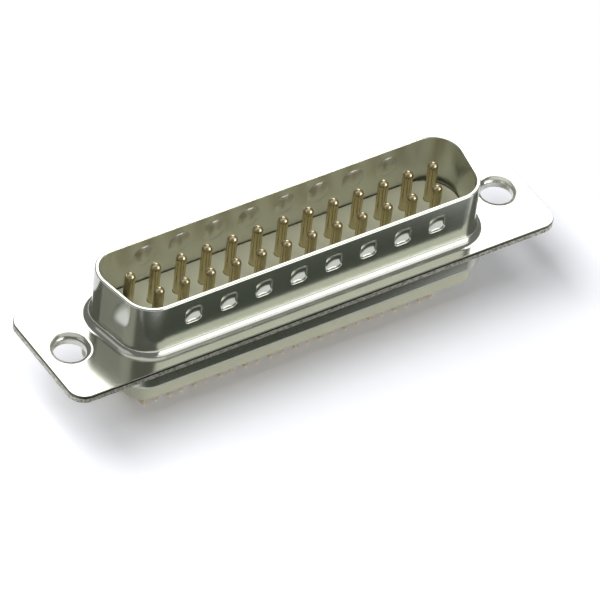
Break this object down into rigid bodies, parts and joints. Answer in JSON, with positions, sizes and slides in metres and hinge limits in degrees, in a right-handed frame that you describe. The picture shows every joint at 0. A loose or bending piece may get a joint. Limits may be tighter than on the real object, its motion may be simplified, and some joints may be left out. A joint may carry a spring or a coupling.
{
  "type": "d-sub plug",
  "caption": "D-shaped cable connector plug: flanged metal shell with dimpled collar, pins in two rows in a moulded insulator, and open solder cups behind.",
  "frame": {"origin": "centre of the flange's front face, midway between the two fixing holes", "axes": "+Z out of the mating side, +X along the connector, +Y to the wide side of the D with the longer row of contacts"},
  "size_m": [0.053, 0.0126, 0.0147],
  "materials": {
    "front_shell": "bright tin plate",
    "rear_shell": "bright tin plate",
    "front_insulator": "moulded, glass filled",
    "rear_insulator": "moulded, glass filled",
    "contacts": "gold flash"
  },
  "bodies": {
    "root": {"front_shell": "front_shell", "rear_shell": "rear_shell", "front_insulator": "front_insulator", "rear_insulator": "rear_insulator", "contact_01": "contacts", "contact_02": "contacts", "contact_03": "contacts", "contact_04": "contacts", "contact_05": "contacts", "contact_06": "contacts", "contact_07": "contacts", "contact_08": "contacts", "contact_09": "contacts", "contact_10": "contacts", "contact_11": "contacts", "contact_12": "contacts", "contact_13": "contacts", "contact_14": "contacts", "contact_15": "contacts", "contact_16": "contacts", "contact_17": "contacts", "contact_18": "contacts", "contact_19": "contacts", "contact_20": "contacts", "contact_21": "contacts", "contact_22": "contacts", "contact_23": "contacts", "contact_24": "contacts", "contact_25": "contacts"}
  },
  "joints": []
}
